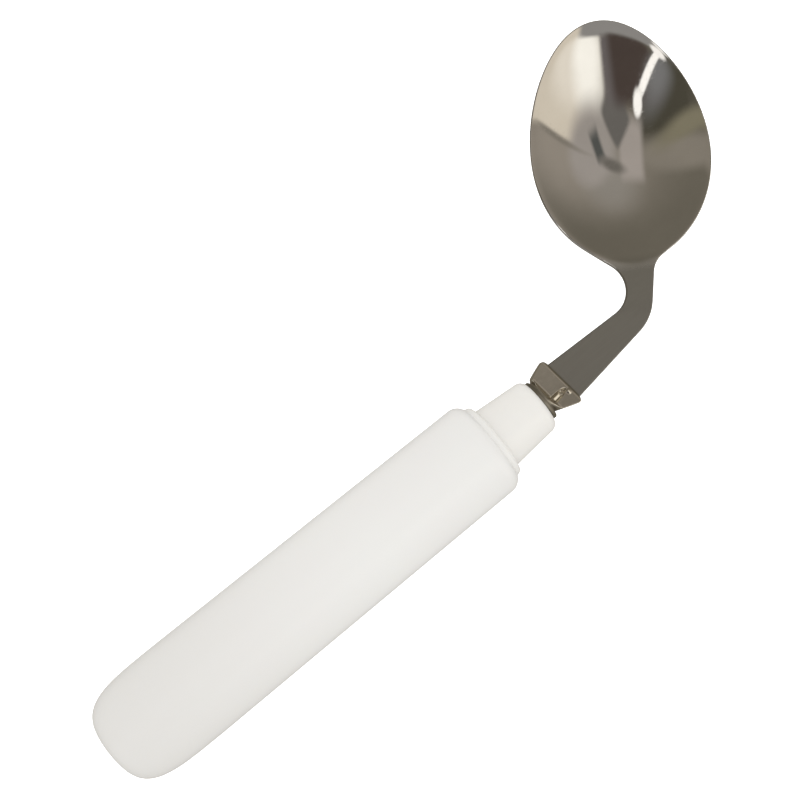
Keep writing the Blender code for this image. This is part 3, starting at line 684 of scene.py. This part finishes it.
def ferrule_ring(reach, inset, flare, grow=0.0, shift=0.0):
    """One ring of the ferrule: flare 0 is the round tube and 1 the flattened mouth."""
    mouth_half_width = SHANK_WIDTH / 2 + MOUTH_GAP + FERRULE_SHEET
    mouth_half_height = SHANK_THICKNESS / 2 + FIT_GAP + FERRULE_SHEET + MOUTH_RISE
    pressed = soft_step(flare / PRESS_RUN)
    still_round = (1 - flare) * (1 - PRESS * pressed)
    half_width = TUBE_RADIUS + (mouth_half_width - TUBE_RADIUS) * flare ** FLARE_RATE - inset
    half_height = mouth_half_height + (TUBE_RADIUS - mouth_half_height) * still_round - inset + grow
    corner = TUBE_RADIUS + (MOUTH_CORNER - TUBE_RADIUS) * soft_step(flare / CORNER_RUN)
    if not flare:
        half_width += grow
        corner += grow
    corner = min(corner, half_width, half_height)
    left_width = 1 - rounded_in(reach, LEFT_ROUNDING) / half_width
    right_width = 1 - rounded_in(reach, RIGHT_ROUNDING) / half_width
    slant = FLANGE_SLANT + (MOUTH_SLANT - FLANGE_SLANT) * pressed
    ring = []
    for y, z in rounded_ring(half_width, half_height, corner, RING_STEPS):
        dent = crease(reach, y) if z > 0 else 0
        if inset:
            dent *= CREASE_INSIDE
        y *= left_width if y > 0 else right_width
        ring.append((NOSE_END + reach - slant * y, y + shift, z + dent))
    return ring


def flare_ring(inset, flare):
    """One ring between the ferrule's neck and the fold behind its mouth."""
    reach = NECK_FRONT + (MOUTH_REACH - MOUTH_BAND - NECK_FRONT) * flare
    return ferrule_ring(reach, inset, flare, 0, PRESS_SHIFT)


def mouth_ring(share):
    """One ring of the turned-down edge, from its fold at 0 to the mouth at 1."""
    reach = MOUTH_REACH - MOUTH_BAND * (1 - share)
    return ferrule_ring(reach, 0, 1, -MOUTH_CURL * share ** 2, PRESS_SHIFT)


def ferrule_rings():
    """Rings along the outside from the tube's end to the mouth, and back along the inside."""
    tube = [TUBE_END - NOSE_END, FLANGE_BACK]
    flange = [(FLANGE_BACK, 0), (FLANGE_FRONT - FLANGE_EDGE, 0), (FLANGE_FRONT, FLANGE_EDGE)]
    rings = [ferrule_ring(reach, 0, 0) for reach in tube]
    rings += [ferrule_ring(reach, 0, 0, FLANGE_OVERHANG - cut, FLANGE_SHIFT) for reach, cut in flange]
    rings.append(ferrule_ring(FLANGE_FRONT, 0, 0, 0, PRESS_SHIFT))
    rings += [flare_ring(0, step / FLARE_STEPS) for step in range(FLARE_STEPS + 1)]
    rings += [mouth_ring(step / INSIDE_STEPS) for step in range(1, INSIDE_STEPS + 1)]
    rings.append(ferrule_ring(MOUTH_REACH, FERRULE_SHEET, 1, -MOUTH_RISE, PRESS_SHIFT))
    rings += [flare_ring(FERRULE_SHEET, step / INSIDE_STEPS) for step in range(INSIDE_STEPS, -1, -1)]
    rings += [ferrule_ring(reach, FERRULE_SHEET, 0) for reach in tube[::-1]]
    return rings


def make_ferrule(placed, material):
    bm = bmesh.new()
    loops = [[bm.verts.new(point) for point in ring] for ring in ferrule_rings()]
    for loop, following in zip(loops, loops[1:] + loops[:1]):
        for i in range(RING_STEPS):
            j = (i + 1) % RING_STEPS
            bm.faces.new((loop[i], loop[j], following[j], following[i]))
    bmesh.ops.recalc_face_normals(bm, faces=bm.faces[:])
    add_piece("ferrule_pressing", bm, placed, "ferrule", material)


def bowl_fill(u):
    """1 at the bowl's widest place, falling to 0 at its heel and at its tip."""
    x = u - WIDEST
    return 1 - SQUARE_TERM * x ** 2 - CUBIC_TERM * x ** 3


def oval_slimness(u):
    """Share of an ellipse's squared width that the bowl keeps."""
    pointedness = BOWL_POINTEDNESS - HEEL_POINTEDNESS * (u - WIDEST) / BOWL_LENGTH
    return 1 - pointedness * (1 - max(0, bowl_fill(u)))


def oval_half_width(u):
    """Half of the bowl's width at a place along its axis."""
    return BOWL_WIDTH / 2 * math.sqrt(max(0, bowl_fill(u) * oval_slimness(u)))


def oval_middle(u):
    """How far the middle of the bowl lies to the left of its axis."""
    return TIP_SKEW * max(0, (u - WIDEST) / TIP_LENGTH) ** 2


def plan_point(u, v):
    """A point given in the bowl's plan, in the handle's plan."""
    return Vector((BEND, 0)) + u * BOWL_AXIS + v * BOWL_LEFT


def neck_drop():
    """How far the bowl's rim lies under the shank, so that the bowl rests on the table."""
    table = -GRIP_BUTT_RADIUS + (plan_point(WIDEST, 0).x - BUTT_ROUND_LENGTH) * math.tan(GRIP_DRAFT)
    return SHANK_THICKNESS / 2 - table - BOWL_THICKNESS - BOWL_DEPTH


def upper_face(point):
    """Height of the stamping's upper face over a point of the plan."""
    offset = point - Vector((BEND, 0))
    u = offset.dot(BOWL_AXIS)
    v = offset.dot(BOWL_LEFT) - oval_middle(u)
    if u <= 0:
        return SHANK_THICKNESS / 2
    softness = RIM_SOFTNESS + HEEL_SOFTNESS * (1 - soft_step((u - BOWL_REACH) / HEEL_LENGTH))
    inside = bowl_fill(u) - (2 * v / BOWL_WIDTH) ** 2 / oval_slimness(u)
    hollow = (inside + math.sqrt(inside ** 2 + softness ** 2)) / 2
    power = 1 - TIP_STEEPNESS * max(0, (u - WIDEST) / TIP_LENGTH)
    depth = BOWL_DEPTH * hollow ** power * soft_step(u / BOWL_REACH)
    return SHANK_THICKNESS / 2 - neck_drop() * soft_step(u / NECK_RAMP) - depth


def fillet(before, corner, after, radius):
    """Points of an arc that rounds a corner between two straight edges."""
    back = (before - corner).normalized()
    ahead = (after - corner).normalized()
    half = math.acos(back.dot(ahead)) / 2
    reach = radius / math.tan(half)
    centre = corner + (back + ahead).normalized() * radius / math.sin(half)
    start = corner + back * reach - centre
    turn = math.copysign(math.pi - 2 * half, back.cross(ahead) * -1)
    points = []
    for step in range(CURVE_STEPS + 1):
        angle = turn * step / CURVE_STEPS
        x = start.x * math.cos(angle) - start.y * math.sin(angle)
        y = start.x * math.sin(angle) + start.y * math.cos(angle)
        points.append(centre + Vector((x, y)))
    return points


def spread(points, count):
    """Points at even distances along a line of points, both ends included."""
    lengths = [(b - a).length for a, b in zip(points, points[1:])]
    total = sum(lengths)
    result = []
    for step in range(count + 1):
        left = total * step / count
        index = 0
        while index < len(lengths) - 1 and left > lengths[index]:
            left -= lengths[index]
            index += 1
        result.append(points[index].lerp(points[index + 1], left / lengths[index]))
    return result


def oval_tangent(corner, side):
    """Place u on one side of the bowl that a straight edge from the corner just touches."""
    offset = corner - Vector((BEND, 0))
    corner_u = offset.dot(BOWL_AXIS)
    corner_v = side * offset.dot(BOWL_LEFT)
    places = [BOWL_REACH + HEEL_LENGTH * step / SEARCH_STEPS for step in range(SEARCH_STEPS + 1)]
    return max(places, key=lambda u: math.atan2(oval_half_width(u) - corner_v, u - corner_u))


def shank_edge(reach, side):
    """Point on one edge of the shank's upper face, at a distance from the ferrule's mouth."""
    half_width = (SHANK_WIDTH + (SHANK_BEND_WIDTH - SHANK_WIDTH) * reach / BEND_REACH) / 2 - FACE_INSET
    middle = (FERRULE_REACH + reach) * math.tan(SHANK_LEAN)
    return Vector((MOUTH + reach, middle + side * half_width))


def tang_edge(side):
    """Both ends of one edge of the tang's upper face."""
    return [Vector((x, side * (TANG_WIDTH / 2 - FACE_INSET))) for x in (TANG_END + FACE_INSET, FLARE_START)]


def stem_rows():
    """Left and right edge points of the stamping, from the tang's end to the bowl."""
    inner_corner = shank_edge(INNER_CORNER_REACH, 1)
    outer_corner = shank_edge(OUTER_CORNER_REACH, -1)
    heel_corner = plan_point(HEEL_REACH, -HEEL_WIDTH / 2)
    touch = oval_tangent(inner_corner, 1)
    heel = oval_tangent(heel_corner, -1)
    left_touch = plan_point(touch, oval_half_width(touch))
    oval = [heel + (touch - heel) * step / CURVE_STEPS for step in range(CURVE_STEPS + 1)]
    right_oval = [plan_point(u, -oval_half_width(u)) for u in oval]
    inner_arc = fillet(shank_edge(0, 1), inner_corner, left_touch, INNER_BEND_RADIUS)
    outer_arc = fillet(shank_edge(0, -1), outer_corner, heel_corner, OUTER_BEND_RADIUS)
    heel_arc = fillet(outer_corner, heel_corner, right_oval[0], HEEL_RADIUS)
    tang_left = tang_edge(1)
    tang_right = tang_edge(-1)
    runs = [
        (tang_left, tang_right, STRAIGHT_ROWS),
        ([tang_left[1], shank_edge(0, 1)], [tang_right[1], shank_edge(0, -1)], STRAIGHT_ROWS),
        ([shank_edge(0, 1), inner_arc[0]], [shank_edge(0, -1), outer_arc[0]], STRAIGHT_ROWS),
        (inner_arc, outer_arc + [heel_arc[0]], BEND_ROWS),
        ([inner_arc[-1], left_touch], heel_arc + right_oval, BEND_ROWS),
    ]
    rows = [(tang_left[0], tang_right[0])]
    for left, right, count in runs:
        rows += list(zip(spread(left, count), spread(right, count)))[1:]
    return rows, touch


def bowl_rows(touch):
    """Rows of plan points from the end of the neck to the bowl's rounded tip."""
    sides = [2 * column / SPOON_COLUMNS - 1 for column in range(SPOON_COLUMNS + 1)]
    rows = []
    for step in range(1, BOWL_ROWS + 1):
        u = touch + (WIDEST - touch) * step / BOWL_ROWS
        rows.append([plan_point(u, -side * oval_half_width(u)) for side in sides])
    for step in range(1, BOWL_ROWS + 1):
        ahead = step / BOWL_ROWS
        row = []
        for side in sides:
            along = ahead * math.sqrt(1 - side ** 2 / 2)
            across = side * math.sqrt(1 - ahead ** 2 / 2)
            u = WIDEST + TIP_LENGTH * along
            share = across / math.sqrt(1 - along ** 2) if along < 1 else 0
            row.append(plan_point(u, oval_middle(u) - share * oval_half_width(u)))
        rows.append(row)
    return rows


def lower_face(point):
    """Height of the stamping's lower face: the shank's gauge, pressed thinner in the bowl."""
    u = (point - Vector((BEND, 0))).dot(BOWL_AXIS)
    gauge = SHANK_THICKNESS + (BOWL_THICKNESS - SHANK_THICKNESS) * soft_step(u / WIDEST)
    height = upper_face(point)
    rise_along = (upper_face(point + Vector((SLOPE_STEP, 0))) - height) / SLOPE_STEP
    rise_across = (upper_face(point + Vector((0, SLOPE_STEP))) - height) / SLOPE_STEP
    return height - gauge * math.sqrt(1 + rise_along ** 2 + rise_across ** 2)


def grid_edge(grid):
    """The members round the edge of a grid, in order."""
    return grid[0] + [row[-1] for row in grid[1:-1]] + grid[-1][::-1] + [row[0] for row in grid[-2:0:-1]]


def rim_loops(edge):
    """Loops of points from the upper face's edge round the rim to the lower face's edge."""
    after = edge[1:] + edge[:1]
    before = edge[-1:] + edge[:-1]
    outward = [Vector(((b - a).y, -(b - a).x)).normalized() for a, b in zip(before, after)]
    angles = [math.pi / 2 * step / ROUNDING_STEPS for step in range(1, ROUNDING_STEPS + 1)]
    loops = []
    for face, drop, order in ((upper_face, -1, angles), (lower_face, 1, angles[::-1])):
        heights = [face(point) for point in edge]
        for angle in order:
            out = EDGE_ROUNDING * math.sin(angle)
            lower_by = drop * EDGE_ROUNDING * (1 - math.cos(angle))
            loops.append([(*(p + out * n), z + lower_by) for p, n, z in zip(edge, outward, heights)])
    return loops


def make_spoon(placed, material):
    stem, touch = stem_rows()
    rows = []
    for left, right in stem:
        rows.append([left.lerp(right, column / SPOON_COLUMNS) for column in range(SPOON_COLUMNS + 1)])
    rows += bowl_rows(touch)
    bm = bmesh.new()
    upper = [[bm.verts.new((*p, upper_face(p))) for p in row] for row in rows]
    lower = [[bm.verts.new((*p, lower_face(p))) for p in row] for row in rows]
    for grid in (upper, lower):
        for row, following in zip(grid, grid[1:]):
            for column in range(SPOON_COLUMNS):
                bm.faces.new((row[column], row[column + 1], following[column + 1], following[column]))
    rim = [[bm.verts.new(point) for point in loop] for loop in rim_loops(grid_edge(rows))]
    loops = [grid_edge(upper)] + rim + [grid_edge(lower)]
    for loop, following in zip(loops, loops[1:]):
        for i in range(len(loop)):
            bm.faces.new((loop[i - 1], loop[i], following[i], following[i - 1]))
    bmesh.ops.recalc_face_normals(bm, faces=bm.faces[:])
    add_piece("spoon_stamping", bm, placed, "spoon_head", material, RIM_SHARP_EDGE)


def make_floor():
    """Pale floor that shows to the camera, but not in the light and reflections on the spoon."""
    bm = bmesh.new()
    bmesh.ops.create_grid(bm, x_segments=1, y_segments=1, size=FLOOR_SIZE / 2)
    mesh = bpy.data.meshes.new("floor")
    bm.to_mesh(mesh)
    bm.free()
    material, _, shader = new_material("pale_floor")
    shader.inputs["Base Color"].default_value = (*FLOOR_COLOUR, 1.0)
    shader.inputs["Roughness"].default_value = FLOOR_ROUGHNESS
    shader.inputs["Specular IOR Level"].default_value = 0.0
    shader.inputs["Emission Color"].default_value = (*WHITE, 1.0)
    shader.inputs["Emission Strength"].default_value = FLOOR_GLOW
    mesh.materials.append(material)
    floor = bpy.data.objects.new("floor", mesh)
    floor.visible_glossy = False
    floor.visible_diffuse = False
    bpy.context.scene.collection.objects.link(floor)


def sky_map(tree):
    """Flat map of the sky, turned with the picture: zenith in the middle, horizon at distance 1."""
    sky = node(tree, "ShaderNodeTexCoord").outputs["Generated"]
    turn = (0, 0, CAMERA_ROLL)
    level = node(tree, "ShaderNodeMapping", {"Vector": sky, "Rotation": turn}).outputs["Vector"]
    height = node(tree, "ShaderNodeSeparateXYZ", {"Vector": level}).outputs["Z"]
    above = node(tree, "ShaderNodeMath", {0: height, 1: 1 + NADIR_GUARD}, operation="ADD").outputs["Value"]
    shrink = node(tree, "ShaderNodeMath", {0: 1.0, 1: above}, operation="DIVIDE").outputs["Value"]
    shrunk = node(tree, "ShaderNodeVectorMath", {"Vector": level, "Scale": shrink}, operation="SCALE")
    flattened = {0: shrunk.outputs["Vector"], 1: (1, 1, 0)}
    flat = node(tree, "ShaderNodeVectorMath", flattened, operation="MULTIPLY")
    return flat.outputs["Vector"], height


def paint(tree, sky, colour, patch):
    """Lay one soft patch of colour over the room that the steel mirrors: an oval or a squarish panel."""
    kind, middle, half_size, turn, softness, patch_colour = patch
    inside = node(tree, "ShaderNodeMapping",
                  {"Vector": sky, "Location": (*middle, 0), "Rotation": (0, 0, math.radians(turn)),
                   "Scale": (*half_size, 1)}, vector_type="TEXTURE").outputs["Vector"]
    raised = inside
    for _ in range(SQUARINGS[kind]):
        squared = node(tree, "ShaderNodeVectorMath", {0: raised, 1: raised}, operation="MULTIPLY")
        raised = squared.outputs["Vector"]
    total = node(tree, "ShaderNodeVectorMath", {0: raised, 1: (1, 1, 0)}, operation="DOT_PRODUCT")
    root = 1 / 2 ** SQUARINGS[kind]
    away = node(tree, "ShaderNodeMath", {0: total.outputs["Value"], 1: root}, operation="POWER")
    cover = ranged(tree, away.outputs["Value"], 1 - softness, 1 + softness, 1.0, 0.0)
    return mix_colour(tree, cover, colour, patch_colour)


def make_studio():
    """Soft white light from all sides, and a dim room for polished steel to mirror."""
    world = bpy.data.worlds.new("studio")
    bpy.context.scene.world = world
    world.use_nodes = True
    tree = world.node_tree
    sky, height = sky_map(tree)
    room = ROOM_GREY
    for patch in ROOM.values():
        room = paint(tree, sky, room, patch)
    dome = mix_colour(tree, ranged(tree, height, 0.0, 1.0), DOME_HORIZON, DOME_ZENITH)
    mirrored = node(tree, "ShaderNodeLightPath").outputs["Is Glossy Ray"]
    tree.links.new(mix_colour(tree, mirrored, dome, room), tree.nodes["Background"].inputs["Color"])


def make_camera():
    towards = -Vector((-math.sin(CAMERA_LEAN), 0, math.cos(CAMERA_LEAN)))
    right = Vector((math.cos(CAMERA_ROLL), -math.sin(CAMERA_ROLL), 0))
    right = (right - right.dot(towards) * towards).normalized()
    up = right.cross(towards)
    data = bpy.data.cameras.new("camera")
    data.lens = CAMERA_LENS
    data.sensor_width = SENSOR_WIDTH
    data.clip_start = CLIP_START
    camera = bpy.data.objects.new("camera", data)
    placed = Matrix((right, up, -towards)).transposed().to_4x4()
    placed.translation = CAMERA_TARGET - CAMERA_DISTANCE * towards
    camera.matrix_world = placed
    bpy.context.scene.collection.objects.link(camera)
    bpy.context.scene.camera = camera


def dress(node_object, material):
    """Give a CAD node that stays as it is its own material."""
    node_object.data.materials.clear()
    node_object.data.materials.append(material)


def main():
    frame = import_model()
    placed = handle_frame(frame["record"])

    make_grip(placed, grip_plastic(placed))
    make_bush(placed, plastic("ring_plastic", RING_TONES, RING_ROUGHNESS))
    make_core(placed, plastic("core_plastic", CORE_TONES, CORE_ROUGHNESS))
    make_ferrule(placed, ferrule_steel(placed))
    make_spoon(placed, spoon_steel(placed))

    nodes = frame["nodes"]
    dress(nodes["rear_bush"], plastic("rear_plastic", REAR_TONES, REAR_ROUGHNESS))
    dress(nodes["tang_pin"], steel("pin_steel", PIN_TONES, PIN_ROUGHNESS, 0.0))
    dress(nodes["tang_seal"], resin("seal_resin"))

    make_floor()
    make_studio()
    make_camera()
    bpy.context.scene.view_settings.view_transform = "Standard"


main()
